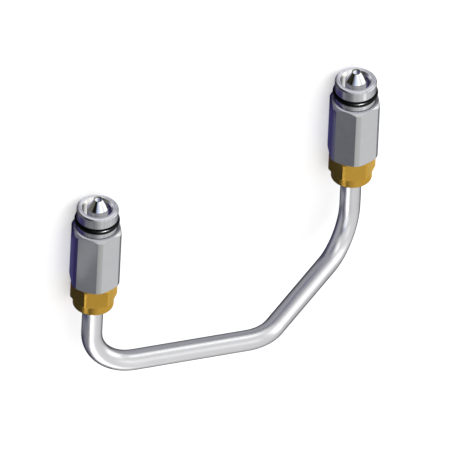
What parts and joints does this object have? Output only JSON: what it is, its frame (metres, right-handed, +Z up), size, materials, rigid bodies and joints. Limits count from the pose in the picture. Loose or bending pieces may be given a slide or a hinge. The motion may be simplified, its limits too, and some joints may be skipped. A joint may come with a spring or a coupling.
{
  "type": "fuel supply tube",
  "caption": "Rigid double-wall fuel supply tube, bent into a shallow V, with hexagon coupling bodies, O-ring necks, polished sealing cones and yellow compression nuts.",
  "frame": {"origin": "on the bench, under the middle of the part's box", "axes": "+X from the left fitting to the right one, +Y along both fittings towards their cones, +Z up, the way the bent middle stands"},
  "size_m": [0.2186, 0.1302, 0.0564],
  "materials": {
    "tube_steel": "bright drawn steel",
    "body_steel": "zinc-plated, satin",
    "nut_yellow": "yellow-passivated zinc",
    "cone_polish": "polished",
    "ring_rubber": "oiled, glossy",
    "inner_steel": "plain turned steel"
  },
  "bodies": {
    "root": {"jacket_tube": "tube_steel", "fuel_pipe": "inner_steel", "compression_nut_left": "nut_yellow", "cutting_ring_left": "inner_steel", "coupling_body_left": "body_steel", "neck_o_ring_left": "ring_rubber", "cone_nipple_left": "cone_polish", "thrust_sleeve_left": "inner_steel", "compression_nut_right": "nut_yellow", "cutting_ring_right": "inner_steel", "coupling_body_right": "body_steel", "neck_o_ring_right": "ring_rubber", "cone_nipple_right": "cone_polish", "thrust_sleeve_right": "inner_steel"}
  },
  "joints": []
}
